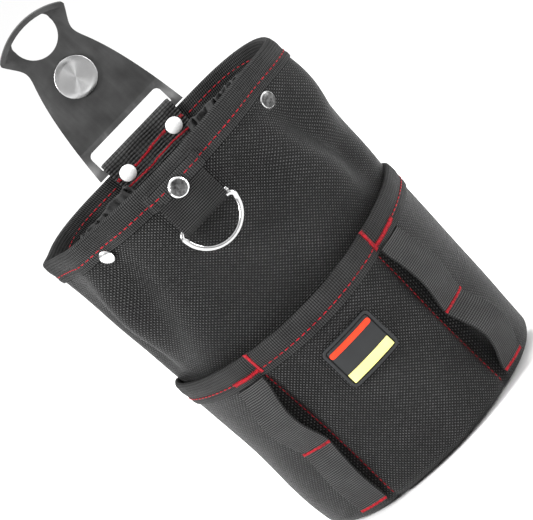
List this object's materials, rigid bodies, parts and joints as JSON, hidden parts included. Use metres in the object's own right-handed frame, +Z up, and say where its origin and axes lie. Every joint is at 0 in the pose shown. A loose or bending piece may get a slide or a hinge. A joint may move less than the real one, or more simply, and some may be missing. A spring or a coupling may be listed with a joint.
{
  "type": "tool pouch",
  "caption": "Tall fabric pouch with a wrap-round outer pocket, webbing tool loops, a D-ring and a tilting steel belt-hook plate.",
  "frame": {"origin": "middle of the underside of the base panel", "axes": "+Z up along the pouch towards its hook plate, -Y to the front with the patch and the D-ring, +X to the right of someone who looks at the front"},
  "size_m": [0.166, 0.1208, 0.3022],
  "materials": {
    "pouch_fabric": "woven ballistic nylon, satin threads",
    "binding_tape": "ribbed grosgrain tape",
    "webbing": "ribbed webbing",
    "loop_webbing": "worn plain-weave webbing",
    "lining_cloth": "plain lining cloth",
    "stiffener_board": "matt board",
    "red_thread": "twisted sewing thread",
    "patch_rubber": "moulded, satin",
    "patch_red": "moulded, satin",
    "patch_yellow": "moulded, satin",
    "hook_steel": "dark grey satin coating",
    "disc_metal": "circular brushing",
    "stud_metal": "turned",
    "rivet_metal": "polished nickel",
    "ring_metal": "polished wire"
  },
  "bodies": {
    "root": {"base_panel": "pouch_fabric", "body_shell": "pouch_fabric", "base_board": "stiffener_board", "base_lining": "lining_cloth", "back_board": "stiffener_board", "back_lining": "lining_cloth", "side_binding_left": "binding_tape", "side_binding_right": "binding_tape", "back_panel": "pouch_fabric", "inner_pocket": "lining_cloth", "front_pocket": "pouch_fabric", "pocket_binding": "binding_tape", "tool_loop_left": "loop_webbing", "tool_loop_right": "loop_webbing", "bar_tacks": "red_thread", "label_patch": "patch_rubber", "patch_red_bar": "patch_red", "patch_yellow_bar": "patch_yellow", "rim_binding": "binding_tape", "ring_tab_anchor": "webbing", "rim_rivet_caps": "rivet_metal", "rim_rivet_backs": "rivet_metal", "tab_rivet_caps": "rivet_metal", "tab_rivet_backs": "rivet_metal", "strap_rivet_caps": "rivet_metal", "strap_rivet_backs": "rivet_metal", "hanger_strap": "webbing"},
    "belt_hook": {"hook_plate": "hook_steel", "stud_disc": "disc_metal", "hook_stud": "stud_metal"},
    "ring_tab": {"ring_tab": "webbing"},
    "d_ring": {"d_ring": "ring_metal"}
  },
  "joints": [
    {"name": "plate_tilt", "type": "hinge", "parent": "root", "child": "belt_hook", "pos_m": [0, 0.0475, 0.2158], "axis": [1, 0, 0], "range_deg": [-120, 110]},
    {"name": "ring_tab_lift", "type": "hinge", "parent": "root", "child": "ring_tab", "pos_m": [-0.003, -0.0577, 0.193], "axis": [-1, 0, 0], "range_deg": [0, 75]},
    {"name": "d_ring_swing", "type": "hinge", "parent": "ring_tab", "child": "d_ring", "pos_m": [-0.003, -0.0577, 0.1805], "axis": [-1, 0, 0], "range_deg": [0, 115]}
  ]
}
